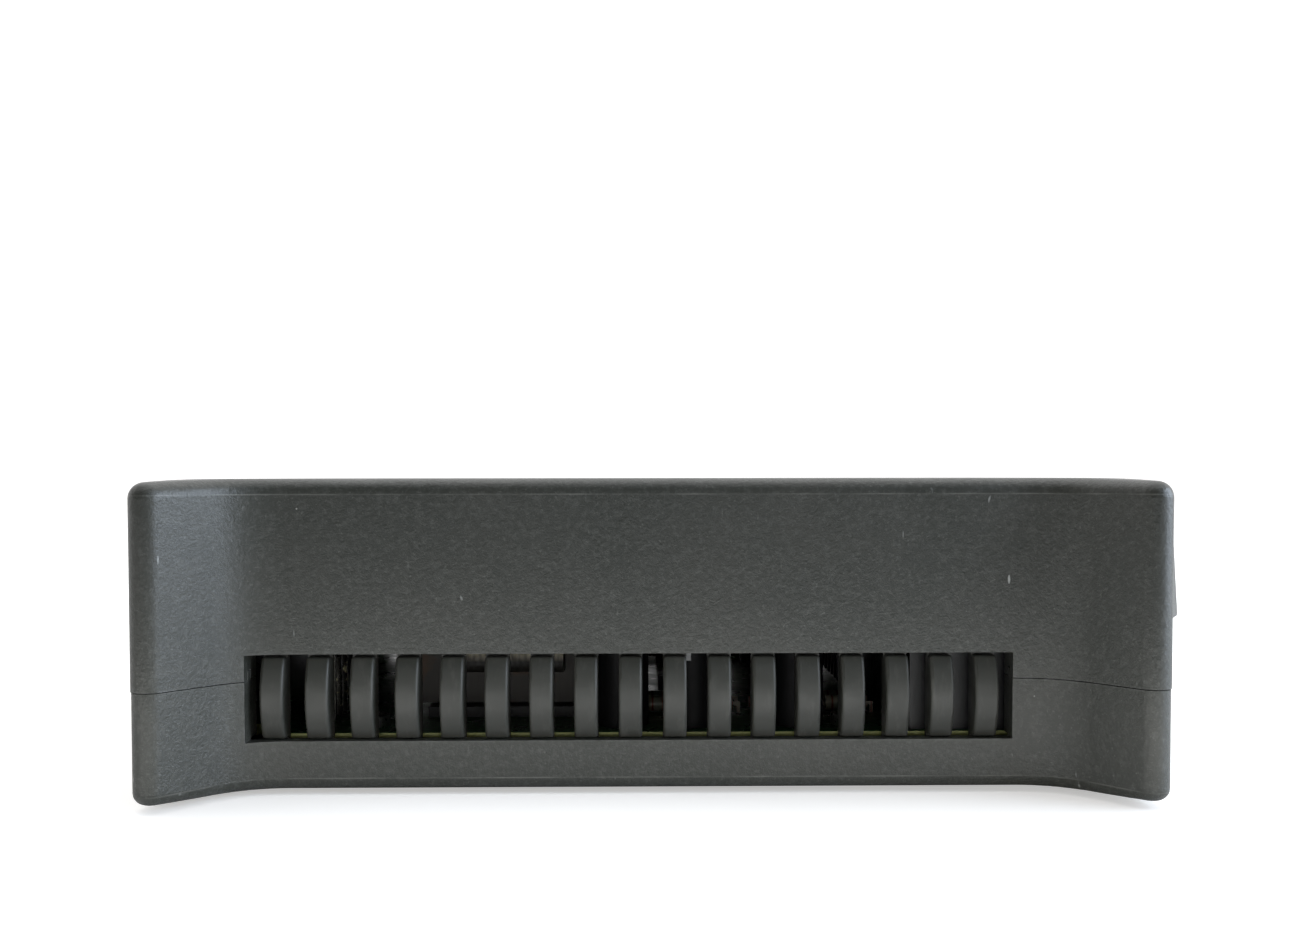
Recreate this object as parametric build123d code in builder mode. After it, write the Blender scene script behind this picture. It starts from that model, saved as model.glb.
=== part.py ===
from build123d import *
from math import hypot, sqrt
import os

os.makedirs("parts", exist_ok=True)

# Frame: +X is the control side, -X the connector side, -Y and +Y the two vented sides, and +Z is up.
# The case is drawn about the Z axis, and save() then moves every piece so that the origin lies on the
# resting plane, under the middle of the overall length. Lengths are in millimetres.

# Case
length = 134.0
waist = 99.4
height = 42.8
wall = 2.5
root_x = 54.66
corner_y = 64.15
root_round = 11.0
corner_round = 2.4
top_round = 2.1
bottom_round = 1.6
flat_radius = 72.0
roll_radius = 300.0
base_rise = 0.65
floor_top = 3.0
roof_under = 39.4
seam = 15.6
seam_gap = 0.12
shell_step = 0.1
tongue_rise = 1.2
tongue_gap = 0.12
tongue_wall = 1.0

# Brow over the controls
brow_low = 24.5
brow_reach = 2.8
brow_half = 52.9
brow_end = 57.6
brow_profile = [(brow_reach, brow_low), (brow_reach, brow_low + 0.5), (2.2, 34.5), (0.0, 40.2)]

# Side vents
vent_centre = -2.95
fin_centre = -3.1
vent_length = 103.6
vent_low = 7.35
vent_high = 19.15
vent_cheek = 45.6
cheek_width = 1.4
fin_count = 17
fin_pitch = 6.06
fin_width = 3.2
fin_crown = 1.4
fin_low = 7.43
fin_high = 18.6
fin_round = 0.45
rail_outer = 47.1
rail_inner = 45.9
rail_height = 2.0
rail_drop = 0.4

# Resting pads
pad_top = 1.15

# Panels
panel_face = 64.4
panel_back = 63.0
front_half = 50.0
front_low = 5.0
rear_half = 47.5
rear_low = 5.0
rear_high = 37.0
panel_overlap = 1.1
rib = 1.2

# Board
board_low = 6.0
board_top = 7.6
board_x = 61.8
board_y = 45.5
board_notch_x = 9.0
board_notch_y = 7.0
post_places = [(-40, -40), (-40, 40), (28, -40), (28, 40)]
case_post_places = [(sx * 59.2, sy * 47.5) for sx in (-1, 1) for sy in (-1, 1)]
post_radius = 3.4

# Controls and connectors
control_axis = 14.6
jack_places = {"input_jack_1": -37.2, "link_jack_1": -22.4, "link_jack_2": 22.4, "input_jack_2": 37.2}
jack_bore = 3.2
jack_bush = 4.5
jack_width = 13.6
jack_back = 36.0
jack_front = 62.0
jack_nose = 66.6
knob_y = 9.5
knob_radius = 5.0
knob_near = 65.3
knob_far = 71.6
frame_shift = (knob_far - length / 2) / 2
shaft_radius = 3.0
running_gap = 0.05
led_places = {"power_led": (0.0, 11.2), "signal_led_1": (-2.6, 16.6), "signal_led_2": (2.6, 16.6)}
led_radius = 1.5
xlr_y = 32.0
xlr_z = 21.0
xlr_cavity = 9.45
xlr_barrel = 11.0
xlr_face = 66.4
xlr_floor = 50.4
xlr_back = 48.0
pin_radius = 1.2
pin_places = [(-3.65, 1.2), (3.65, 1.2), (0, -3.6)]
button_y = 11.0
button_z = 11.3
button_radius = 2.5
dc_z = 14.1


def case_outline(inset):
    """The case from above: two waisted, vented faces that run out to rounded corners."""
    with BuildSketch() as outline:
        with BuildLine():
            Polyline(
                (-length / 2, -corner_y),
                (-root_x, -waist / 2),
                (root_x, -waist / 2),
                (length / 2, -corner_y),
                (length / 2, corner_y),
                (root_x, waist / 2),
                (-root_x, waist / 2),
                (-length / 2, corner_y),
                close=True,
            )
        make_face()
        roots = [v for v in outline.vertices() if abs(v.X) < root_x + 1]
        fillet(roots, root_round)
        tips = [v for v in outline.vertices() if abs(v.Y) > corner_y - 1]
        fillet(tips, corner_round)
        if inset:
            offset(amount=-inset)
    return outline.sketch


def rolled_end(z, inward):
    """A disc that is flat at z and rolls off towards the corners, with its body on the inward side."""
    reach = 100.0

    def drop(radius):
        return inward * (roll_radius - sqrt(roll_radius**2 - (radius - flat_radius) ** 2))

    middle = (flat_radius + reach) / 2
    with BuildPart(mode=Mode.PRIVATE) as disc:
        with BuildSketch(Plane.XZ):
            with BuildLine():
                Line((0, z), (flat_radius, z))
                ThreePointArc((flat_radius, z), (middle, z + drop(middle)), (reach, z + drop(reach)))
                Line((reach, z + drop(reach)), (reach, z + inward * height))
                Line((reach, z + inward * height), (0, z + inward * height))
                Line((0, z + inward * height), (0, z))
            make_face()
        revolve(axis=Axis.Z)
    return disc.part


def brow_section(scale):
    """Corners of the brow's section in X and Z, with its reach scaled."""
    root = length / 2 - 1
    face = [(length / 2 + scale * reach, z) for reach, z in brow_profile]
    return [(root, brow_low), *face, (root, brow_profile[-1][1])]


def brow():
    """The overhang above the controls: it leans out downwards, and its ends ramp back to the corners."""
    with BuildPart(mode=Mode.PRIVATE) as overhang:
        with BuildSketch(Plane.XZ.offset(-brow_half)):
            Polygon(*brow_section(1.0), align=None)
        extrude(amount=2 * brow_half)
        for side in (-1, 1):
            with BuildSketch(Plane.XZ.offset(side * brow_half)):
                Polygon(*brow_section(1.0), align=None)
            with BuildSketch(Plane.XZ.offset(side * brow_end)):
                Polygon(*brow_section(0.02), align=None)
            loft(ruled=True)
    return overhang.part


def rim(piece, near_z):
    """The outer edges of a shell's rolled end."""
    edges = [e for e in piece.edges() if abs(e.center().Z - near_z) < 1.2]
    return [e for e in edges if abs(hypot((e @ 0.5).X, (e @ 0.5).Y) - flat_radius) > 0.05]


def box_between(low, high, mode=Mode.ADD):
    """A box between two opposite corners."""
    size = [b - a for a, b in zip(low, high)]
    middle = tuple((a + b) / 2 for a, b in zip(low, high))
    with Locations(middle):
        return Box(*size, mode=mode)


def rod(start, end, radius, mode=Mode.ADD):
    """A round bar between two points."""
    axis = Vector(*end) - Vector(*start)
    with Locations(Plane(origin=start, z_dir=axis)):
        return Cylinder(radius, axis.length, align=(Align.CENTER, Align.CENTER, Align.MIN), mode=mode)


def save(piece, name):
    """Move a finished piece into the frame, label it and write its file."""
    moved = piece.part.moved(Location((-frame_shift, 0, 0)))
    moved.label = name
    export_step(moved, f"parts/{name}.step")


def cut_openings():
    """Cut the vents, the control opening and the connector opening through a shell's walls."""
    vent_ends = (vent_centre - vent_length / 2, vent_centre + vent_length / 2)
    for side in (-1, 1):
        near, far = sorted((side * 44, side * 58))
        box_between((vent_ends[0], near, vent_low), (vent_ends[1], far, vent_high), Mode.SUBTRACT)
    box_between((63, -front_half, front_low), (75, front_half, brow_low), Mode.SUBTRACT)
    box_between((-75, -rear_half, rear_low), (-63, rear_half, rear_high), Mode.SUBTRACT)


def vent_cheeks(low, high):
    """Thicken a shell's wall at both ends of each vent."""
    for side in (-1, 1):
        near, far = sorted((side * vent_cheek, side * (waist / 2 - 1)))
        for end in (-1, 1):
            x = vent_centre + end * vent_length / 2
            left, right = sorted((x, x + end * cheek_width))
            box_between((left, near, low), (right, far, high))


# Bottom shell
with BuildPart() as bottom_shell:
    with BuildSketch():
        add(case_outline(shell_step))
    extrude(amount=seam - seam_gap / 2)
    add(rolled_end(base_rise, 1), mode=Mode.INTERSECT)
    fillet(rim(bottom_shell, base_rise), bottom_round)
    with BuildSketch(Plane.XY.offset(floor_top)):
        add(case_outline(wall))
    extrude(amount=seam, mode=Mode.SUBTRACT)
    with BuildSketch(Plane.XY.offset(seam - 1.5)):
        add(case_outline(wall - tongue_wall))
        add(case_outline(wall), mode=Mode.SUBTRACT)
    extrude(amount=1.5 + tongue_rise)
    with BuildSketch(Plane.XY.offset(floor_top - 0.5)):
        with Locations(*case_post_places):
            Circle(post_radius)
    extrude(amount=seam - 0.1 - floor_top + 0.5)
    with BuildSketch(Plane.XY.offset(floor_top - 0.5)):
        with Locations(*post_places):
            Circle(3.2)
    extrude(amount=board_low - floor_top + 0.5)
    for side in (-1, 1):
        near, far = sorted((side * (panel_back - 0.1), side * (panel_back - 0.1 - rib)))
        box_between((near, -45, floor_top - 0.2), (far, 45, 4.8))
    vent_cheeks(vent_low + 0.3, seam - seam_gap / 2)
    with BuildSketch():
        with Locations(*case_post_places):
            Circle(2.8)
    extrude(amount=2.5, mode=Mode.SUBTRACT)
    with BuildSketch():
        with Locations(*case_post_places):
            Circle(1.7)
    extrude(amount=seam, mode=Mode.SUBTRACT)
    with BuildSketch(Plane.XY.offset(floor_top + 0.4)):
        with Locations(*post_places):
            Circle(1.3)
    extrude(amount=board_low - floor_top, mode=Mode.SUBTRACT)
    with BuildSketch():
        with Locations((-48, -34), (48, -34), (-48, 34), (48, 34)):
            Circle(6.2)
    extrude(amount=pad_top, mode=Mode.SUBTRACT)
    cut_openings()
save(bottom_shell, "bottom_shell")

# Top shell
with BuildPart() as top_shell:
    with BuildSketch(Plane.XY.offset(seam + seam_gap / 2)):
        add(case_outline(0))
    extrude(amount=height - seam - seam_gap / 2)
    add(rolled_end(height, -1), mode=Mode.INTERSECT)
    fillet(rim(top_shell, height), top_round)
    with BuildSketch(Plane.XY.offset(seam)):
        add(case_outline(wall))
    extrude(amount=roof_under - seam, mode=Mode.SUBTRACT)
    add(brow())
    with BuildSketch(Plane.XY.offset(seam + 0.1)):
        with Locations(*case_post_places):
            Circle(post_radius)
    extrude(amount=roof_under - seam)
    for y in (-30, 0, 30):
        box_between((61.7, y - 0.8, brow_low + panel_overlap + 0.2), (65, y + 0.8, roof_under + 0.3))
        box_between((61.7, y - 0.8, brow_low), (panel_back - 0.1, y + 0.8, roof_under + 0.3))
        box_between((-panel_back + 0.1, y - 0.8, rear_high - 0.4), (-61.7, y + 0.8, roof_under + 0.3))
    for side in (-1, 1):
        near, far = sorted((side * 44.8, side * (waist / 2 - 1)))
        for x in (-42, -16, 10, 36):
            box_between((x - 0.7, near, vent_high + rail_height + 0.3), (x + 0.7, far, roof_under + 0.3))
    vent_cheeks(seam + seam_gap / 2, vent_high - 0.3)
    with BuildSketch(Plane.XY.offset(seam)):
        add(case_outline(wall - tongue_wall - tongue_gap))
        add(case_outline(wall + tongue_gap), mode=Mode.SUBTRACT)
    extrude(amount=tongue_rise + 0.2, mode=Mode.SUBTRACT)
    with BuildSketch(Plane.XY.offset(seam)):
        with Locations(*case_post_places):
            Circle(1.5)
    extrude(amount=15, mode=Mode.SUBTRACT)
    cut_openings()
save(top_shell, "top_shell")

# One moulded grille behind each vent: barrel-faced fins joined by two rails
with BuildPart() as fin:
    with BuildSketch(Plane.YZ.offset(-fin_width / 2)):
        with BuildLine():
            crown = -waist / 2 - 0.1
            ThreePointArc(
                (crown + fin_crown, fin_low),
                (crown, (fin_low + fin_high) / 2),
                (crown + fin_crown, fin_high),
            )
            Polyline(
                (crown + fin_crown, fin_high),
                (-rail_outer, fin_high),
                (-rail_outer, vent_high + rail_height),
                (-rail_inner, vent_high + rail_height),
                (-rail_inner, vent_low - rail_height),
                (-rail_outer, vent_low - rail_height),
                (-rail_outer, fin_low),
                (crown + fin_crown, fin_low),
            )
        make_face()
    extrude(amount=fin_width)
    outer = [e for e in fin.edges() if e.center().Y < -rail_outer - 0.6]
    fillet(outer, fin_round)

with BuildPart() as vent_grille_left:
    rail_ends = (vent_centre - vent_length / 2 - 1.0, vent_centre + vent_length / 2 + 1.0)
    for low, high in ((vent_high, vent_high + rail_height), (vent_low - rail_height, vent_low - rail_drop)):
        box_between((rail_ends[0], -rail_outer, low), (rail_ends[1], -rail_inner, high))
    for i in range(fin_count):
        with Locations((fin_centre + (i - (fin_count - 1) / 2) * fin_pitch, 0, 0)):
            add(fin.part)
save(vent_grille_left, "vent_grille_left")

with BuildPart() as vent_grille_right:
    add(mirror(vent_grille_left.part, about=Plane.XZ, mode=Mode.PRIVATE))
save(vent_grille_right, "vent_grille_right")

# Control panel
with BuildPart() as front_panel:
    half = front_half + panel_overlap
    box_between((panel_back, -half, front_low - 0.9), (panel_face, half, brow_low + panel_overlap))
    for y in jack_places.values():
        rod((panel_back - 1, y, control_axis), (panel_face + 1, y, control_axis), 4.7, Mode.SUBTRACT)
    for y in (-knob_y, knob_y):
        rod((panel_back - 1, y, control_axis), (panel_face + 1, y, control_axis), 4.2, Mode.SUBTRACT)
    for y, z in led_places.values():
        rod((panel_back - 1, y, z), (panel_face + 1, y, z), led_radius + 0.1, Mode.SUBTRACT)
save(front_panel, "front_panel")

# Connector panel
xlr_screw_places = [(sy * (xlr_y + d * 9.5), xlr_z + d * 12) for sy in (-1, 1) for d in (-1, 1)]
with BuildPart() as rear_panel:
    half = rear_half + panel_overlap
    box_between((-panel_face, -half, rear_low - 0.9), (-panel_back, half, rear_high + panel_overlap))
    for y in (-xlr_y, xlr_y):
        rod((-panel_back + 1, y, xlr_z), (-panel_face - 1, y, xlr_z), xlr_barrel + 0.2, Mode.SUBTRACT)
    for y, z in xlr_screw_places:
        rod((-panel_back + 1, y, z), (-panel_face - 1, y, z), 1.35, Mode.SUBTRACT)
    for y in (-button_y, button_y):
        rod((-panel_back + 1, y, button_z), (-panel_face - 1, y, button_z), 2.9, Mode.SUBTRACT)
    rod((-panel_back + 1, 0, dc_z), (-panel_face - 1, 0, dc_z), 4.2, Mode.SUBTRACT)
save(rear_panel, "rear_panel")

# Resting pads
with BuildPart() as base_pads:
    with BuildSketch():
        with Locations((-48, -34), (48, -34), (-48, 34), (48, 34)):
            Circle(6.0)
    extrude(amount=pad_top)
save(base_pads, "base_pads")

# Screws
with BuildPart() as case_screws:
    for x, y in case_post_places:
        rod((x, y, 1.2), (x, y, 2.5), 2.6)
        rod((x, y, 2.5), (x, y, 27.0), 1.4)
        with Locations((x, y, 1.4)):
            Box(3.0, 0.6, 0.8, mode=Mode.SUBTRACT)
            Box(0.6, 3.0, 0.8, mode=Mode.SUBTRACT)
save(case_screws, "case_screws")

with BuildPart() as board_screws:
    for x, y in post_places:
        rod((x, y, 3.6), (x, y, board_top), 1.25)
        rod((x, y, board_top), (x, y, board_top + 1.6), 2.5)
        with Locations((x, y, board_top + 1.5)):
            Box(2.8, 0.6, 0.9, mode=Mode.SUBTRACT)
            Box(0.6, 2.8, 0.9, mode=Mode.SUBTRACT)
save(board_screws, "board_screws")

with BuildPart() as xlr_screws:
    for y, z in xlr_screw_places:
        rod((-xlr_face, y, z), (-xlr_face + 1.2, y, z), 2.5)
        rod((-xlr_face + 1.2, y, z), (-61.5, y, z), 1.3)
        with Locations((-xlr_face, y, z)):
            Box(1.2, 2.8, 0.6, mode=Mode.SUBTRACT)
            Box(1.2, 0.6, 2.8, mode=Mode.SUBTRACT)
save(xlr_screws, "xlr_screws")

# Main board
with BuildPart() as main_board:
    box_between((-board_x, -board_y, board_low), (board_x, board_y, board_top))
    for sx in (-1, 1):
        for sy in (-1, 1):
            with Locations((sx * board_x, sy * board_y, board_low)):
                Box(2 * board_notch_x, 2 * board_notch_y, 10, mode=Mode.SUBTRACT)
    with BuildSketch(Plane.XY.offset(board_low)):
        with Locations(*post_places):
            Circle(1.5)
    extrude(amount=2, mode=Mode.SUBTRACT)
save(main_board, "main_board")

# Jack sockets
nut_thickness = 2.0
for name, y in jack_places.items():
    with BuildPart() as jack:
        low_y, high_y = y - jack_width / 2, y + jack_width / 2
        box_between((jack_back, low_y, board_top), (jack_front, high_y, 21.4))
        rod((jack_front, y, control_axis), (jack_nose, y, control_axis), jack_bush)
        rod((46, y, control_axis), (jack_nose, y, control_axis), jack_bore, Mode.SUBTRACT)
        rod((38, y, control_axis), (46, y, control_axis), 4.6, Mode.SUBTRACT)
    save(jack, name)

with BuildPart() as jack_nuts:
    for y in jack_places.values():
        nut_plane = Plane(origin=(panel_face, y, control_axis), x_dir=(0, 1, 0), z_dir=(1, 0, 0))
        with BuildSketch(nut_plane):
            RegularPolygon(5.9, 6, major_radius=False)
            Circle(jack_bush, mode=Mode.SUBTRACT)
        extrude(amount=nut_thickness)
save(jack_nuts, "jack_nuts")

with BuildPart() as jack_contacts:
    for y in jack_places.values():
        box_between((38.0, y - 1.2, control_axis - 1.6), (38.4, y + 1.2, control_axis + 2.9))
        box_between((38.0, y - 1.2, control_axis + 2.5), (45.4, y + 1.2, control_axis + 2.9))
save(jack_contacts, "jack_contacts")

# Pad selectors: rotary switch, shaft and knob
for number, y in ((1, -knob_y), (2, knob_y)):
    with BuildPart() as switch:
        box_between((50, y - 4.5, board_top), (60, y + 4.5, 19.8))
        rod((60, y, control_axis), (64.8, y, control_axis), 4.0)
        rod((52, y, control_axis), (64.8, y, control_axis), shaft_radius + running_gap, Mode.SUBTRACT)
    save(switch, f"pad_switch_{number}")
    with BuildPart() as shaft:
        rod((52.4, y, control_axis), (70.4, y, control_axis), shaft_radius)
    save(shaft, f"pad_shaft_{number}")
    with BuildPart() as knob:
        rod((knob_near, y, control_axis), (knob_far, y, control_axis), knob_radius)
        chamfer(knob.edges().sort_by(Axis.X)[-1], 0.6)
        rod((knob_near, y, control_axis), (70.4, y, control_axis), shaft_radius, Mode.SUBTRACT)
        with BuildSketch(Plane(origin=(knob_near + 0.8, y, control_axis), x_dir=(0, 1, 0), z_dir=(1, 0, 0))):
            with PolarLocations(knob_radius + 0.1, 16, start_angle=11.25):
                Circle(0.45)
        extrude(amount=knob_far, mode=Mode.SUBTRACT)
        box_between(
            (knob_far - 0.5, y - 0.35, control_axis + 1.2),
            (knob_far + 1, y + 0.35, control_axis + knob_radius + 1),
            Mode.SUBTRACT,
        )
    save(knob, f"pad_knob_{number}")

# Indicator lamps in one holder
with BuildPart() as led_holder:
    box_between((56.5, -4.5, board_top), (61.5, 4.5, 19.0))
    for y, z in led_places.values():
        rod((56, y, z), (62, y, z), led_radius + 0.05, Mode.SUBTRACT)
save(led_holder, "led_holder")

for name, (y, z) in led_places.items():
    with BuildPart() as led:
        rod((57, y, z), (65.4, y, z), led_radius)
        fillet(led.edges().sort_by(Axis.X)[-1], led_radius - 0.2)
    save(led, name)

# Balanced outputs
for number, y in ((1, -xlr_y), (2, xlr_y)):
    with BuildPart() as housing:
        with BuildSketch(Plane(origin=(-panel_face, y, xlr_z), x_dir=(0, 1, 0), z_dir=(-1, 0, 0))):
            RectangleRounded(26, 31, 4)
        extrude(amount=xlr_face - panel_face)
        rod((-panel_face, y, xlr_z), (-xlr_back, y, xlr_z), xlr_barrel)
        rod((-xlr_floor, y, xlr_z), (-xlr_face - 1, y, xlr_z), xlr_cavity, Mode.SUBTRACT)
        box_between(
            (-xlr_face - 1, y - 1.5, xlr_z + 8),
            (-xlr_floor, y + 1.5, xlr_z + xlr_cavity + 0.8),
            Mode.SUBTRACT,
        )
        for py, pz in pin_places:
            rod((-xlr_floor, y + py, xlr_z + pz), (-47, y + py, xlr_z + pz), pin_radius, Mode.SUBTRACT)
        for sy, sz in xlr_screw_places:
            rod((-xlr_face, sy, sz), (-xlr_face + 1.2, sy, sz), 2.6, Mode.SUBTRACT)
            rod((-xlr_face, sy, sz), (-62, sy, sz), 1.35, Mode.SUBTRACT)
    save(housing, f"xlr_housing_{number}")
    with BuildPart() as pins:
        for py, pz in pin_places:
            rod((-61.6, y + py, xlr_z + pz), (-46.4, y + py, xlr_z + pz), pin_radius)
        fillet(pins.edges().group_by(Axis.X)[0], 0.9)
        for py, pz in pin_places:
            box_between((-47.0, y + py - 0.4, board_top), (-46.2, y + py + 0.4, xlr_z + pz))
    save(pins, f"xlr_pins_{number}")

# Ground lift push buttons
for number, y in ((1, -button_y), (2, button_y)):
    with BuildPart() as switch:
        box_between((-60, y - 3.5, board_top), (-52, y + 3.5, 15.0))
        box_between((-61, y - 1.85, button_z - 1.85), (-53, y + 1.85, button_z + 1.85), Mode.SUBTRACT)
    save(switch, f"lift_switch_{number}")
    with BuildPart() as plunger:
        box_between((-64, y - 1.5, button_z - 1.5), (-55.5, y + 1.5, button_z + 1.5))
    save(plunger, f"lift_plunger_{number}")
    with BuildPart() as button:
        rod((-62.5, y, button_z), (-66.9, y, button_z), button_radius)
        fillet(button.edges().sort_by(Axis.X)[0], 0.5)
        box_between((-64, y - 1.5, button_z - 1.5), (-62, y + 1.5, button_z + 1.5), Mode.SUBTRACT)
    save(button, f"lift_button_{number}")

# Power inlet
with BuildPart() as dc_inlet:
    box_between((-62.8, -4.5, board_top), (-51, 4.5, 18.6))
    rod((-62.8, 0, dc_z), (-65.8, 0, dc_z), 4.0)
    rod((-56.3, 0, dc_z), (-66.8, 0, dc_z), 2.75, Mode.SUBTRACT)
    rod((-52, 0, dc_z), (-57, 0, dc_z), 1.05, Mode.SUBTRACT)
save(dc_inlet, "dc_inlet")

with BuildPart() as dc_pin:
    rod((-52, 0, dc_z), (-64.8, 0, dc_z), 1.05)
    fillet(dc_pin.edges().sort_by(Axis.X)[0], 0.5)
save(dc_pin, "dc_pin")

# Isolating transformers
for number, y in ((1, -22.0), (2, 22.0)):
    with BuildPart() as core:
        box_between((-36, y - 9, 9.2), (-8, y + 9, 28))
        box_between((-31, y - 10, 14), (-25, y + 10, 23.4), Mode.SUBTRACT)
        box_between((-19, y - 10, 14), (-13, y + 10, 23.4), Mode.SUBTRACT)
    save(core, f"transformer_core_{number}")
    with BuildPart() as winding:
        box_between((-30.9, y - 12.6, 14.1), (-13.1, y + 12.6, 23.3))
        box_between((-25.1, y - 9.1, 13), (-18.9, y + 9.1, 24.4), Mode.SUBTRACT)
        fillet(winding.edges().filter_by(Axis.X), 1.5)
    save(winding, f"transformer_winding_{number}")
    with BuildPart() as base:
        box_between((-33, y - 12, board_top), (-11, y + 12, 9.1))
        for px in (-31, -22, -13):
            for py in (-11, 11):
                rod((px, y + py, board_top), (px, y + py, 12.5), 0.4, Mode.SUBTRACT)
    save(base, f"transformer_base_{number}")

# Small parts on the board
with BuildPart() as electrolytic_capacitors:
    for x, y in [(-4.5, -39), (5.5, -39), (20.6, -39), (-4.5, 39), (5.5, 39), (20.6, 39)]:
        rod((x, y, board_top), (x, y, 19.6), 3.9)
    fillet(electrolytic_capacitors.edges().group_by(Axis.Z)[-1], 0.5)
save(electrolytic_capacitors, "electrolytic_capacitors")

with BuildPart() as film_capacitors:
    for x, y in [(-14, -4), (-14, 4), (6.5, -4), (6.5, 4), (25, -4), (25, 4)]:
        box_between((x - 3.6, y - 2.4, board_top), (x + 3.6, y + 2.4, 18.4))
    fillet(film_capacitors.edges().filter_by(Axis.Z), 0.5)
save(film_capacitors, "film_capacitors")

with BuildPart() as op_amp_chips:
    for x, y in [(6, -18), (22, -18), (6, 18), (22, 18)]:
        box_between((x - 4.9, y - 3.2, 8.2), (x + 4.9, y + 3.2, 11.6))
        for side in (-1, 1):
            for px in (-3.81, -1.27, 1.27, 3.81):
                near, far = sorted((side * 3.2, side * 3.9))
                box_between((x + px - 0.25, y + near, board_top), (x + px + 0.25, y + far, 10.0))
save(op_amp_chips, "op_amp_chips")

with BuildPart() as resistors:
    for y in (-31, -26.5, 26.5, 31):
        for x in (-1, 9, 19, 29):
            rod((x - 3.0, y, 9.0), (x + 3.0, y, 9.0), 1.15)
            for side in (-1, 1):
                near, far = sorted((x + side * 3.0, x + side * 4.2))
                box_between((near, y - 0.25, 8.75), (far, y + 0.25, 9.25))
                foot = x + side * 3.95
                box_between((foot - 0.25, y - 0.25, board_top), (foot + 0.25, y + 0.25, 9.25))
save(resistors, "resistors")

with BuildPart() as voltage_regulator:
    box_between((38, -5.1, 12), (42.4, 5.1, 21))
    for y in (-2.54, 0, 2.54):
        box_between((40, y - 0.4, board_top), (40.8, y + 0.4, 12))
save(voltage_regulator, "voltage_regulator")

with BuildPart() as heat_sink:
    box_between((34.5, -11, board_top), (37.9, 11, 30))
    for y in (-10.2, -6.8, -3.4, 0, 3.4, 6.8, 10.2):
        box_between((31, y - 0.7, 9), (35, y + 0.7, 30))
save(heat_sink, "heat_sink")
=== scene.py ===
import bmesh
import bpy
import math
from mathutils import Matrix, Vector


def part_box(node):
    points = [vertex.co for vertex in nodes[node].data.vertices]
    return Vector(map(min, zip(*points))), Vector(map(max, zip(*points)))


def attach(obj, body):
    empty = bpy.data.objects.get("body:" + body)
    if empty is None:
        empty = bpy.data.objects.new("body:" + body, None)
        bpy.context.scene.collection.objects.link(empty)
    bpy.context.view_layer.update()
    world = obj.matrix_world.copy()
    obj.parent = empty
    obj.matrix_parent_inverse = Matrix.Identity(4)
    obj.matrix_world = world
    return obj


# Lengths are in metres. X runs along the case, Y across it, and Z up from the floor.

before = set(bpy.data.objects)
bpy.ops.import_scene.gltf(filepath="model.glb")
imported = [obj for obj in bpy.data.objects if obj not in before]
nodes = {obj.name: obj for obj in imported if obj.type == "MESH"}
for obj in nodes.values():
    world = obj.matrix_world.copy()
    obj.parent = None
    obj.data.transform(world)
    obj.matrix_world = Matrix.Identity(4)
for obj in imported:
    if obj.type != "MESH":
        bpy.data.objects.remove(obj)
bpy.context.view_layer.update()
shell_low, shell_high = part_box("bottom_shell")
case_x = (shell_low.x + shell_high.x) / 2
case_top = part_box("top_shell")[1].z


# ---------------------------------------------------------------- materials

noise_usual = (0.3, 0.7)      # most of a noise texture lies between these


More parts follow.
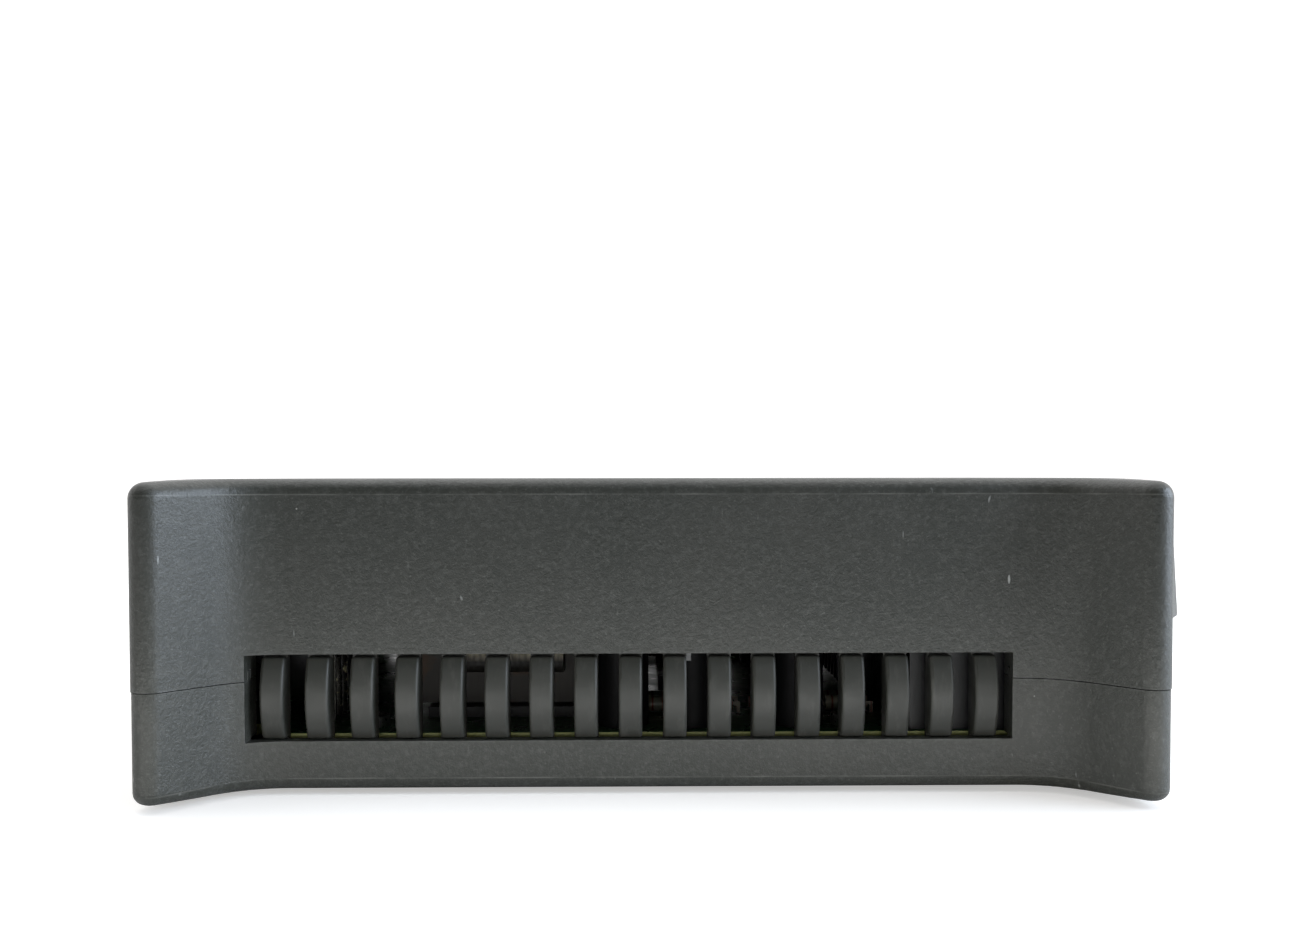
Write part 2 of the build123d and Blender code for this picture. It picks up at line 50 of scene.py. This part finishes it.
class Paint:
    """A node material being built: a Principled shader with helpers for procedural detail."""

    def __init__(self, name, colour, roughness, metallic=0.0, specular=0.5):
        self.material = bpy.data.materials.new(name)
        self.material.use_nodes = True
        self.tree = self.material.node_tree
        self.shader = self.tree.nodes["Principled BSDF"]
        self.shader.inputs["Base Color"].default_value = (*colour, 1)
        self.shader.inputs["Roughness"].default_value = roughness
        self.shader.inputs["Metallic"].default_value = metallic
        self.shader.inputs["Specular IOR Level"].default_value = specular
        self.place = self.node("ShaderNodeTexCoord").outputs["Object"]
        self.colour = None
        self.base = colour
        self.bumps = None

    def node(self, kind, **settings):
        made = self.tree.nodes.new(kind)
        for key, value in settings.items():
            setattr(made, key, value)
        return made

    def link(self, source, target):
        self.tree.links.new(source, target)

    def stretched(self, scale):
        """Object coordinates, stretched by a scale on each axis."""
        mapping = self.node("ShaderNodeMapping")
        mapping.inputs["Scale"].default_value = scale
        self.link(self.place, mapping.inputs["Vector"])
        return mapping.outputs["Vector"]

    def noise(self, size, detail, roughness=0.55, stretch=(1, 1, 1)):
        """Noise whose features are about size metres across."""
        made = self.node("ShaderNodeTexNoise")
        made.inputs["Scale"].default_value = 1 / size
        made.inputs["Detail"].default_value = detail
        made.inputs["Roughness"].default_value = roughness
        self.link(self.stretched(stretch), made.inputs["Vector"])
        return made.outputs["Fac"]

    def cells(self, size):
        """Distance to the middle of Voronoi cells about size metres across."""
        made = self.node("ShaderNodeTexVoronoi")
        made.inputs["Scale"].default_value = 1 / size
        self.link(self.place, made.inputs["Vector"])
        return made.outputs["Distance"]

    def bands(self, direction, scale, distortion=0.0):
        """Parallel waves along one axis."""
        made = self.node("ShaderNodeTexWave", wave_type="BANDS", bands_direction=direction)
        made.inputs["Scale"].default_value = scale
        made.inputs["Distortion"].default_value = distortion
        self.link(self.place, made.inputs["Vector"])
        return made.outputs["Fac"]

    def axis(self, vector, name):
        """One axis of a vector."""
        parts = self.node("ShaderNodeSeparateXYZ")
        self.link(vector, parts.inputs["Vector"])
        return parts.outputs[name]

    def normal_z(self):
        """How far the true surface faces up."""
        return self.axis(self.node("ShaderNodeNewGeometry").outputs["True Normal"], "Z")

    def absolute(self, value):
        made = self.node("ShaderNodeMath", operation="ABSOLUTE")
        self.link(value, made.inputs[0])
        return made.outputs[0]

    def product(self, a, b):
        made = self.node("ShaderNodeMath", operation="MULTIPLY")
        self.link(a, made.inputs[0])
        self.link(b, made.inputs[1])
        return made.outputs[0]

    def ramp(self, value, low, high, out_low=0.0, out_high=1.0):
        """Maps a value from one range to another, held at the ends."""
        made = self.node("ShaderNodeMapRange")
        made.inputs["From Min"].default_value = low
        made.inputs["From Max"].default_value = high
        made.inputs["To Min"].default_value = out_low
        made.inputs["To Max"].default_value = out_high
        self.link(value, made.inputs["Value"])
        return made.outputs["Result"]

    def tint(self, mask, colour):
        """Lays a colour over what is there, by a mask."""
        mix = self.node("ShaderNodeMix", data_type="RGBA")
        self.link(mask, mix.inputs["Factor"])
        if self.colour is None:
            mix.inputs["A"].default_value = (*self.base, 1)
        else:
            self.link(self.colour, mix.inputs["A"])
        mix.inputs["B"].default_value = (*colour, 1)
        self.colour = mix.outputs["Result"]
        self.link(self.colour, self.shader.inputs["Base Color"])

    def blotch(self, noise, between, amount, colour):
        """Lays a colour on, up to an amount, where noise climbs between two values."""
        self.tint(self.ramp(noise, *between, 0.0, amount), colour)

    def gloss(self, noise, smooth, dull):
        """Lets the roughness wander from smooth to dull with noise."""
        uneven = self.ramp(noise, *noise_usual, smooth, dull)
        self.link(uneven, self.shader.inputs["Roughness"])

    def bump(self, height, depth, strength=1.0):
        """Adds relief, depth metres high where height goes from 0 to 1."""
        made = self.node("ShaderNodeBump")
        made.inputs["Strength"].default_value = strength
        made.inputs["Distance"].default_value = depth
        self.link(height, made.inputs["Height"])
        if self.bumps is not None:
            self.link(self.bumps, made.inputs["Normal"])
        self.bumps = made.outputs["Normal"]
        self.link(self.bumps, self.shader.inputs["Normal"])

    def edge_wear(self, colour, radius, amount):
        """Rubbed edges: where a rounded normal leaves the true one, broken up by noise."""
        bevel = self.node("ShaderNodeBevel", samples=4)
        bevel.inputs["Radius"].default_value = radius
        geometry = self.node("ShaderNodeNewGeometry")
        dot = self.node("ShaderNodeVectorMath", operation="DOT_PRODUCT")
        self.link(bevel.outputs["Normal"], dot.inputs[0])
        self.link(geometry.outputs["Normal"], dot.inputs[1])
        edge = self.ramp(dot.outputs["Value"], 0.97, 0.85, 0.0, amount)
        broken = self.ramp(self.noise(0.0016, 5), 0.45, 0.6)
        self.tint(self.product(edge, broken), colour)


def scaled(colour, factor):
    return tuple(factor * c for c in colour)


def dusty(paint, colour, amount, size):
    """A faint uneven film of dust."""
    paint.blotch(paint.noise(size, 4, 0.6), (0.42, 0.72), amount, colour)


def mould_line(paint, z):
    """A thin broken line at one height, where the tool's halves met."""
    away = paint.node("ShaderNodeMath", operation="SUBTRACT")
    paint.link(paint.axis(paint.place, "Z"), away.inputs[0])
    away.inputs[1].default_value = z
    line = paint.ramp(paint.absolute(away.outputs[0]), 0.00013, 0.00005, 0.0, 0.8)
    return paint.product(line, paint.ramp(paint.noise(0.006, 3), 0.4, 0.6, 0.2, 1.0))


def moulded_shell():
    """Spark-eroded dark grey plastic: grain, clouds, scuffs, ticks, specks and rubbed edges."""
    below_top = 0.0021       # from the top face down to the upper mould line
    above_floor = 0.0023     # from the floor up to the lower one
    paint = Paint("shell_plastic", (0.028, 0.030, 0.025), 0.38)
    dusty(paint, (0.040, 0.040, 0.034), 0.7, 0.02)
    coarse_grain, fine_grain = paint.noise(0.0009, 4, 0.75), paint.noise(0.0004, 2, 0.7)
    paint.blotch(coarse_grain, (0.48, 0.70), 0.8, (0.060, 0.062, 0.055))
    paint.blotch(fine_grain, (0.60, 0.74), 0.7, (0.085, 0.087, 0.078))
    scuffs = paint.ramp(paint.noise(0.004, 4, 0.7, (9, 9, 0.9)), 0.66, 0.76, 0.0, 0.45)
    scuffed_areas = paint.ramp(paint.noise(0.03, 2), 0.52, 0.64)
    paint.tint(paint.product(scuffs, scuffed_areas), (0.14, 0.14, 0.135))
    ticks = paint.noise(0.0012, 1, 0.5, (1, 1, 0.35))
    paint.blotch(ticks, (0.80, 0.84), 0.9, (0.30, 0.31, 0.30))
    specks = paint.ramp(paint.cells(0.009), 0.018, 0.008, 0.0, 0.7)
    paint.tint(specks, (0.3, 0.3, 0.28))
    for z in (case_top - below_top, above_floor):
        paint.tint(mould_line(paint, z), (0.10, 0.10, 0.09))
    paint.edge_wear((0.10, 0.102, 0.098), 0.0006, 0.5)
    paint.gloss(paint.noise(0.012, 4), 0.33, 0.42)
    paint.bump(paint.noise(0.00055, 3, 0.75), 0.00010)
    paint.bump(paint.noise(0.009, 2), 0.00012, 0.35)
    return paint.material


def satin_fins():
    """The same plastic from a polished tool: smoother, with faint flow marks and rubbed crowns."""
    paint = Paint("fin_plastic", (0.031, 0.032, 0.027), 0.38)
    dusty(paint, (0.045, 0.045, 0.039), 0.6, 0.008)
    flow_marks = paint.noise(0.0012, 4, 0.6, (1.0, 1.0, 0.22))
    paint.blotch(flow_marks, (0.55, 0.75), 0.5, (0.075, 0.074, 0.066))
    paint.edge_wear((0.10, 0.10, 0.09), 0.0005, 0.6)
    paint.gloss(paint.noise(0.003, 4), 0.40, 0.54)
    paint.bump(paint.noise(0.0008, 3), 0.00003, 0.5)
    return paint.material


def powder_coat(name, colour):
    """Textured paint on sheet metal."""
    grain_size = 0.0007
    paint = Paint(name, colour, 0.48)
    paint.blotch(paint.noise(grain_size, 3), (0.5, 0.75), 0.5, scaled(colour, 2.0))
    dusty(paint, scaled(colour, 2.4), 0.3, 0.015)
    paint.edge_wear((0.35, 0.35, 0.35), 0.0004, 0.6)
    paint.gloss(paint.noise(0.006, 3), 0.40, 0.58)
    paint.bump(paint.noise(grain_size, 2), 0.00007, 0.8)
    return paint.material


def plain_moulding(name, colour, roughness=0.45, lighter=1.8):
    """A small moulded plastic part: fine grain, faint clouds and rubbed edges."""
    paint = Paint(name, colour, roughness)
    light = tuple(min(1.0, lighter * c + 0.01) for c in colour)
    paint.blotch(paint.noise(0.004, 4), (0.45, 0.75), 0.5, light)
    paint.edge_wear(light, 0.0003, 0.7)
    paint.gloss(paint.noise(0.002, 4), roughness - 0.08, roughness + 0.08)
    paint.bump(paint.noise(0.0004, 2), 0.00003, 0.6)
    return paint.material


def metal(name, colour, roughness, stretch=(1, 1, 1), tarnish=0.5):
    """Plated or turned metal with fine tool marks and a little tarnish."""
    paint = Paint(name, colour, roughness, metallic=1.0)
    paint.blotch(paint.noise(0.003, 5, 0.6), (0.5, 0.8), 0.6, scaled(colour, tarnish))
    tool_marks = paint.noise(0.0008, 4, 0.6, stretch)
    paint.gloss(tool_marks, roughness * 0.7, roughness * 1.4)
    paint.bump(tool_marks, 0.00002, 0.5)
    return paint.material


def pin_plating():
    """Gilt at a pin's contact end, and dull dark solder on its legs."""
    legs_start = (-0.0500, -0.0495)
    paint = Paint("pin_plating", (0.62, 0.5, 0.26), 0.28, metallic=1.0)
    legs = paint.ramp(paint.axis(paint.place, "X"), *legs_start)
    paint.tint(legs, (0.035, 0.034, 0.03))
    blobs = paint.ramp(paint.noise(0.0016, 2), 0.60, 0.66)
    paint.tint(paint.product(legs, blobs), (0.5, 0.46, 0.3))
    marks = paint.noise(0.0008, 3)
    paint.gloss(marks, 0.22, 0.42)
    paint.bump(marks, 0.00001, 0.4)
    return paint.material


def soft_rubber():
    """Black rubber, a little chalky."""
    paint = Paint("pad_rubber", (0.022, 0.022, 0.022), 0.8, specular=0.3)
    paint.blotch(paint.noise(0.003, 5), (0.45, 0.7), 0.6, (0.09, 0.085, 0.08))
    paint.gloss(paint.noise(0.002, 4), 0.7, 0.9)
    paint.bump(paint.noise(0.0006, 3), 0.00008, 0.8)
    return paint.material


def solder_mask():
    """Green board: tracks raised under the mask, pale pads and edges, and dust."""
    paint = Paint("board_mask", (0.012, 0.075, 0.022), 0.28)
    tracks = paint.node("ShaderNodeTexBrick")
    tracks.inputs["Scale"].default_value = 190.0
    tracks.inputs["Mortar Size"].default_value = 0.08
    tracks.inputs["Color1"].default_value = (0, 0, 0, 1)
    tracks.inputs["Color2"].default_value = (0, 0, 0, 1)
    tracks.inputs["Mortar"].default_value = (1, 1, 1, 1)
    paint.link(paint.place, tracks.inputs["Vector"])
    paint.tint(tracks.outputs["Fac"], (0.03, 0.15, 0.045))
    pads = paint.ramp(paint.cells(0.0035), 0.16, 0.12)
    paint.tint(pads, (0.42, 0.42, 0.38))
    cut_edges = paint.ramp(paint.absolute(paint.normal_z()), 0.6, 0.4)
    paint.tint(cut_edges, (0.62, 0.66, 0.26))
    dusty(paint, (0.2, 0.19, 0.16), 0.25, 0.01)
    paint.gloss(paint.noise(0.004, 4), 0.22, 0.42)
    paint.bump(tracks.outputs["Fac"], 0.00005, 0.6)
    return paint.material


def laminations():
    """Transformer core: a stack of thin varnished sheets."""
    paint = Paint("core_laminations", (0.10, 0.098, 0.095), 0.5, metallic=0.6)
    sheets = paint.bands("Y", 700.0, 0.6)
    paint.tint(paint.ramp(sheets, 0.2, 0.6, 0.7, 0.0), (0.05, 0.045, 0.04))
    paint.blotch(paint.noise(0.005, 4), (0.55, 0.75), 0.5, (0.16, 0.08, 0.03))
    paint.bump(sheets, 0.0001, 0.8)
    return paint.material


def winding_paper():
    """Paper over a coil, with the turns showing as ridges: pale at the top as painted light, dark
    lower down as painted shade.
    """
    # The height where painted shade gives way to painted light, going up the winding.
    painted_light_from = (0.0158, 0.0170)
    # The dark base colour is painted shade on the lower part of the winding.
    paint = Paint("winding_paper", (0.035, 0.032, 0.028), 0.5)
    pale = paint.ramp(paint.axis(paint.place, "Z"), *painted_light_from)
    # The pale tint is painted light on the top of the winding.
    paint.tint(pale, (0.62, 0.56, 0.43))
    turns = paint.bands("X", 330.0, 1.2)
    paint.tint(paint.ramp(turns, 0.2, 0.5, 0.35, 0.0), (0.05, 0.045, 0.04))
    paint.blotch(paint.noise(0.004, 4), (0.5, 0.62), 0.85, (0.03, 0.028, 0.025))
    paint.bump(turns, 0.0001, 0.5)
    return paint.material


def sleeve():
    """Capacitor sleeve: dull black shrink film with pale patches of painted highlight near the
    top, bare metal above.
    """
    # Height and spans of the pale patches, which are painted highlights and not print.
    painted_highlight_from = 0.0171
    painted_highlight_spans = ((0.0019, 0.0030), (0.0195, 0.0212))
    soft_edge = 0.0001
    paint = Paint("capacitor_sleeve", (0.008, 0.008, 0.009), 0.6, specular=0.25)
    across = paint.axis(paint.place, "X")
    upper = paint.ramp(paint.axis(paint.place, "Z"), painted_highlight_from, painted_highlight_from + soft_edge)
    # Pale patches painted near the top of the sleeves as highlights.
    for left, right in painted_highlight_spans:
        after = paint.ramp(across, left, left + soft_edge)
        before = paint.ramp(across, right + soft_edge, right)
        paint.tint(paint.product(paint.product(after, before), upper), (0.66, 0.67, 0.68))
    paint.tint(paint.ramp(paint.normal_z(), 0.8, 0.9), (0.55, 0.55, 0.55))
    wrinkles = paint.noise(0.002, 3, 0.5, (1, 1, 0.4))
    paint.gloss(wrinkles, 0.5, 0.7)
    paint.bump(wrinkles, 0.0001, 0.4)
    return paint.material


def resistor_paint():
    """Resistor body: beige lacquer with colour bands across its length."""
    paint = Paint("resistor_body", (0.30, 0.27, 0.2), 0.3)
    paint.tint(paint.ramp(paint.bands("X", 210.0), 0.9, 0.95), (0.2, 0.05, 0.02))
    dusty(paint, (0.4, 0.36, 0.28), 0.4, 0.002)
    paint.gloss(paint.noise(0.001, 3), 0.25, 0.4)
    paint.bump(paint.noise(0.0008, 3), 0.00005, 0.5)
    return paint.material


def lens(name, colour):
    """A clear tinted lamp lens with moulding ripples."""
    paint = Paint(name, colour, 0.12)
    paint.shader.inputs["Transmission Weight"].default_value = 0.35
    paint.shader.inputs["IOR"].default_value = 1.49
    light = tuple(min(1, 1.5 * c) for c in colour)
    paint.blotch(paint.noise(0.0012, 3), (0.45, 0.75), 0.4, light)
    paint.gloss(paint.noise(0.0006, 3), 0.08, 0.2)
    paint.bump(paint.noise(0.0006, 2), 0.00004, 0.4)
    return paint.material


def screen_ink():
    """White screen-printing ink, a little rubbed."""
    paint = Paint("screen_ink", (0.70, 0.70, 0.68), 0.5)
    paint.blotch(paint.noise(0.0012, 5), (0.55, 0.7), 0.8, (0.35, 0.35, 0.34))
    paint.gloss(paint.noise(0.0008, 3), 0.42, 0.6)
    paint.bump(paint.noise(0.0004, 2), 0.00001, 0.5)
    return paint.material


# ---------------------------------------------------------------- CAD nodes

def dress(material, *names):
    """Gives CAD nodes a material in every slot."""
    for name in names:
        mesh = nodes[name].data
        if not mesh.materials:
            mesh.materials.append(material)
        for i in range(len(mesh.materials)):
            mesh.materials[i] = material


def soften(width, *names):
    """Breaks the sharp edges of CAD nodes with a small bevel."""
    sharp = math.radians(40)
    for name in names:
        bevel = nodes[name].modifiers.new("soften", "BEVEL")
        bevel.width = width
        bevel.segments = 2
        bevel.limit_method = "ANGLE"
        bevel.angle_limit = sharp


dress(moulded_shell(), "bottom_shell", "top_shell")
dress(satin_fins(), "vent_grille_left", "vent_grille_right")
dress(powder_coat("front_plate", (0.022, 0.023, 0.025)), "front_panel")
dress(powder_coat("rear_plate", (0.02, 0.02, 0.022)), "rear_panel")
dress(soft_rubber(), "base_pads")
dress(metal("zinc_screw", (0.62, 0.62, 0.6), 0.32), "board_screws")
dress(metal("black_screw", (0.06, 0.06, 0.065), 0.38), "case_screws", "xlr_screws")
dress(solder_mask(), "main_board")
dress(laminations(), "transformer_core_1", "transformer_core_2")
dress(winding_paper(), "transformer_winding_1", "transformer_winding_2")
dress(
    plain_moulding("bobbin_nylon", (0.02, 0.02, 0.022)),
    "transformer_base_1", "transformer_base_2",
)
dress(sleeve(), "electrolytic_capacitors")
dress(plain_moulding("film_box", (0.30, 0.27, 0.2), 0.4, 1.1), "film_capacitors")
dress(
    plain_moulding("chip_epoxy", (0.018, 0.018, 0.018), 0.5),
    "op_amp_chips", "voltage_regulator",
)
dress(resistor_paint(), "resistors")
dress(metal("black_anodise", (0.05, 0.05, 0.052), 0.4, (1, 1, 6)), "heat_sink")
dress(
    plain_moulding("black_nylon", (0.014, 0.014, 0.015), 0.42),
    "input_jack_1", "input_jack_2", "link_jack_1", "link_jack_2", "dc_inlet",
)
dress(
    plain_moulding("switch_body", (0.02, 0.02, 0.021), 0.5),
    "pad_switch_1", "pad_switch_2", "lift_switch_1", "lift_switch_2", "led_holder",
)
dress(metal("nickel_plate", (0.66, 0.65, 0.62), 0.22, tarnish=0.7), "jack_nuts", "dc_pin")
dress(metal("contact_metal", (0.55, 0.47, 0.28), 0.3), "jack_contacts")
dress(pin_plating(), "xlr_pins_1", "xlr_pins_2")
dress(
    plain_moulding("xlr_nylon", (0.012, 0.012, 0.013), 0.34),
    "xlr_housing_1", "xlr_housing_2",
)
dress(plain_moulding("knob_plastic", (0.02, 0.02, 0.02), 0.5), "pad_knob_1", "pad_knob_2")
dress(
    metal("turned_aluminium", (0.75, 0.75, 0.76), 0.28, (40, 1, 1)),
    "pad_shaft_1", "pad_shaft_2",
)
dress(
    plain_moulding("button_plastic", (0.25, 0.25, 0.24), 0.38, 1.4),
    "lift_button_1", "lift_button_2",
)
dress(
    plain_moulding("plunger_acetal", (0.6, 0.6, 0.57), 0.35, 1.1),
    "lift_plunger_1", "lift_plunger_2",
)
dress(lens("green_lens", (0.05, 0.5, 0.1)), "power_led")
dress(lens("amber_lens", (0.75, 0.33, 0.03)), "signal_led_1", "signal_led_2")

soften(
    0.00018,
    "jack_nuts", "xlr_housing_1", "xlr_housing_2", "pad_knob_1", "pad_knob_2", "dc_inlet",
)
soften(
    0.00012,
    "front_panel", "rear_panel", "heat_sink", "film_capacitors", "op_amp_chips", "case_screws",
)
soften(
    0.0001,
    "lift_button_1", "lift_button_2", "voltage_regulator", "board_screws", "xlr_screws",
)


# ---------------------------------------------------------------- printed marks

print_film = 0.00004     # how far the ink stands off a panel
groove_depth = 0.0005    # the pointer groove in a pad knob
tick_width = 0.0004
rule_width = 0.00035
digit_width = 0.00026
pointer_width = 0.0005


class Print:
    """Ink on a panel that faces +X or -X, drawn as thin prisms in the panel's Y and Z."""

    strokes = {
        "a": ((0, 1), (1, 1)),
        "b": ((1, 1), (1, 0.5)),
        "c": ((1, 0.5), (1, 0)),
        "d": ((0, 0), (1, 0)),
        "e": ((0, 0.5), (0, 0)),
        "f": ((0, 1), (0, 0.5)),
        "g": ((0, 0.5), (1, 0.5)),
    }
    figures = {"0": "abcdef", "2": "abged", "4": "fgbc"}

    def __init__(self, name, face, outward):
        self.name, self.face, self.outward = name, face, outward
        self.corners, self.faces = [], []

    def polygon(self, outline):
        near = len(self.corners)
        count = len(outline)
        for x in (self.face, self.face + self.outward * print_film):
            self.corners += [(x, y, z) for y, z in outline]
        self.faces.append([near + i for i in range(count)])
        self.faces.append([near + count + i for i in reversed(range(count))])
        for i in range(count):
            j = (i + 1) % count
            self.faces.append([near + i, near + count + i, near + count + j, near + j])

    def line(self, start, end, width):
        """A straight stroke, run on by half its width at both ends."""
        (y0, z0), (y1, z1) = start, end
        span = math.hypot(y1 - y0, z1 - z0)
        dy, dz = (y1 - y0) / span * width / 2, (z1 - z0) / span * width / 2
        self.polygon([
            (y0 - dz - dy, z0 + dy - dz), (y1 - dz + dy, z1 + dy + dz),
            (y1 + dz + dy, z1 - dy + dz), (y0 + dz - dy, z0 - dy - dz),
        ])

    def path(self, points, width):
        for start, end in zip(points, points[1:]):
            self.line(start, end, width)

    def digits(self, text, centre, size):
        """Digits as strokes on a seven-stroke figure."""
        wide, step = 0.55 * size, 0.85 * size
        across = self.outward
        start = centre[0] - across * (step * (len(text) - 1) + wide) / 2
        for i, figure in enumerate(text):
            left = start + across * i * step
            for stroke in self.figures[figure]:
                (u0, v0), (u1, v1) = self.strokes[stroke]
                self.line(
                    (left + across * u0 * wide, centre[1] + (v0 - 0.5) * size),
                    (left + across * u1 * wide, centre[1] + (v1 - 0.5) * size),
                    digit_width,
                )

    def finish(self, material, body="case"):
        mesh = bpy.data.meshes.new(self.name)
        mesh.from_pydata(self.corners, [], self.faces)
        solid = bmesh.new()
        solid.from_mesh(mesh)
        bmesh.ops.recalc_face_normals(solid, faces=solid.faces)
        solid.to_mesh(mesh)
        solid.free()
        mesh.materials.append(material)
        piece = bpy.data.objects.new(self.name, mesh)
        bpy.context.collection.objects.link(piece)
        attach(piece, body)


ink = screen_ink()

# The control panel: a dial and a bracket over two jacks on each side.
tick_near, tick_far = 0.0055, 0.0062           # from a knob's middle
label_reach, label_height = 0.0076, 0.0013
bracket_near, bracket_far = 0.0200, 0.0396     # from the panel's middle
bracket_low, bracket_high = 0.0212, 0.0225
pointer_near, pointer_far = 0.0018, 0.0040     # from a knob's middle
panel_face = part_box("front_panel")[1].x
front = Print("front_marks", panel_face, 1)
for side in (-1, 1):
    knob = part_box("pad_knob_1" if side < 0 else "pad_knob_2")
    middle = (knob[0] + knob[1]) / 2
    for angle, label in ((-30, "0"), (0, "20"), (30, "40")):
        turn = math.radians(angle)
        out = (math.sin(turn), math.cos(turn))
        near, far, reach = (
            (middle.y + radius * out[0], middle.z + radius * out[1])
            for radius in (tick_near, tick_far, label_reach)
        )
        front.line(near, far, tick_width)
        front.digits(label, reach, label_height)
    low, high = sorted((side * bracket_near, side * bracket_far))
    front.path(
        [(low, bracket_low), (low, bracket_high), (high, bracket_high), (high, bracket_low)],
        rule_width,
    )
    pointer = Print(f"pad_pointer_{1 if side < 0 else 2}", knob[1].x - groove_depth, 1)
    pointer.line(
        (middle.y, middle.z + pointer_near), (middle.y, middle.z + pointer_far), pointer_width,
    )
    pointer.finish(ink, f"pad_selector_{1 if side < 0 else 2}")
front.finish(ink)

# The connector panel: a rule from each lift button to the connector that it serves.
rule_gap, rule_rise, rule_end = 0.0018, 0.006, 0.0185
foot_half = 0.0012
rear = Print("rear_marks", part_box("rear_panel")[0].x, -1)
for side in (-1, 1):
    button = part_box("lift_button_1" if side < 0 else "lift_button_2")
    y = (button[0].y + button[1].y) / 2
    z = button[1].z + rule_gap
    rear.path([(y, z), (y, z + rule_rise), (side * rule_end, z + rule_rise)], rule_width)
    rear.path([(y - foot_half, z), (y + foot_half, z)], rule_width)
rear.finish(ink)


# ---------------------------------------------------------------- stage, camera and light

def make_floor():
    """A white floor that glows a little, and more as the camera sees it."""
    reach = 30.0
    glow_lit, glow_seen = 0.02, 0.44
    mesh = bpy.data.meshes.new("floor")
    corners = [(-reach, -reach, 0), (reach, -reach, 0), (reach, reach, 0), (-reach, reach, 0)]
    mesh.from_pydata(corners, [], [(0, 1, 2, 3)])
    floor = bpy.data.objects.new("floor", mesh)
    bpy.context.scene.collection.objects.link(floor)
    paint = Paint("floor_white", (0.80, 0.795, 0.785), 0.6, specular=0.3)
    paint.blotch(paint.noise(0.4, 2), (0.4, 0.7), 0.3, (0.78, 0.77, 0.76))
    paint.shader.inputs["Emission Color"].default_value = (1.0, 0.99, 0.98, 1)
    seen = paint.node("ShaderNodeLightPath").outputs["Is Camera Ray"]
    glow = paint.ramp(seen, 0.0, 1.0, glow_lit, glow_seen)
    paint.link(glow, paint.shader.inputs["Emission Strength"])
    mesh.materials.append(paint.material)


def make_camera():
    """Level with the case's top and a little left of its middle, looking slightly down."""
    left_of_middle, back, height = 0.0016, 0.2191, 0.0430
    turned, down, rolled = -0.773, 1.789, -0.072     # degrees
    data = bpy.data.cameras.new("camera")
    data.sensor_fit = "HORIZONTAL"
    data.sensor_width = 36.0
    data.lens = 34.4641
    data.shift_x = -0.0009
    data.shift_y = 0.0340
    data.clip_start = 0.01
    camera = bpy.data.objects.new("camera", data)
    bpy.context.scene.collection.objects.link(camera)
    heading = Matrix.Rotation(math.radians(turned), 4, "Z")
    tilt = Matrix.Rotation(math.radians(90 - down), 4, "X")
    roll = Matrix.Rotation(math.radians(rolled), 4, "Z")
    place = Matrix.Translation(Vector((case_x - left_of_middle, -back, height)))
    camera.matrix_world = place @ heading @ tilt @ roll
    bpy.context.scene.camera = camera


def area_light(name, place, target, size, power, colour=(1, 1, 1)):
    data = bpy.data.lights.new(name, "AREA")
    data.shape = "RECTANGLE"
    data.size, data.size_y = size
    data.energy = power
    data.color = colour
    light = bpy.data.objects.new(name, data)
    bpy.context.scene.collection.objects.link(light)
    light.location = place
    aim = Vector(target) - Vector(place)
    light.rotation_euler = aim.to_track_quat("-Z", "Y").to_euler()


def make_world():
    """A white room, brightest behind the object and dimmer on the camera side."""
    camera_side, far_side = -0.5, 0.4
    dim, bright = 0.11, 1.25
    world = bpy.data.worlds.new("studio")
    bpy.context.scene.world = world
    world.use_nodes = True
    tree = world.node_tree
    background = tree.nodes["Background"]
    place = tree.nodes.new("ShaderNodeTexCoord")
    parts = tree.nodes.new("ShaderNodeSeparateXYZ")
    tree.links.new(place.outputs["Generated"], parts.inputs["Vector"])
    ramp = tree.nodes.new("ShaderNodeMapRange")
    ramp.inputs["From Min"].default_value = camera_side
    ramp.inputs["From Max"].default_value = far_side
    ramp.inputs["To Min"].default_value = dim
    ramp.inputs["To Max"].default_value = bright
    tree.links.new(parts.outputs["Y"], ramp.inputs["Value"])
    seen = tree.nodes.new("ShaderNodeLightPath")
    keep = tree.nodes.new("ShaderNodeMath")
    keep.operation = "MAXIMUM"
    tree.links.new(seen.outputs["Is Camera Ray"], keep.inputs[0])
    tree.links.new(ramp.outputs["Result"], keep.inputs[1])
    tree.links.new(keep.outputs[0], background.inputs["Strength"])
    background.inputs["Color"].default_value = (1.0, 1.0, 1.0, 1)


make_floor()
make_camera()
make_world()
area_light(
    "window_right", place=(1.05, -0.22, 0.40), target=(0, 0, 0.02),
    size=(0.95, 0.8), power=17, colour=(0.74, 0.85, 1.0),
)
area_light("overhead", place=(0, 0.2, 1.5), target=(0, 0, 0), size=(1.8, 1.8), power=11)
area_light(
    "floor_bounce", place=(0, -0.082, 0.0015), target=(0, -0.052, 0.010),
    size=(0.21, 0.02), power=0.028, colour=(1.0, 1.0, 0.96),
)
bpy.context.scene.view_settings.view_transform = "Standard"
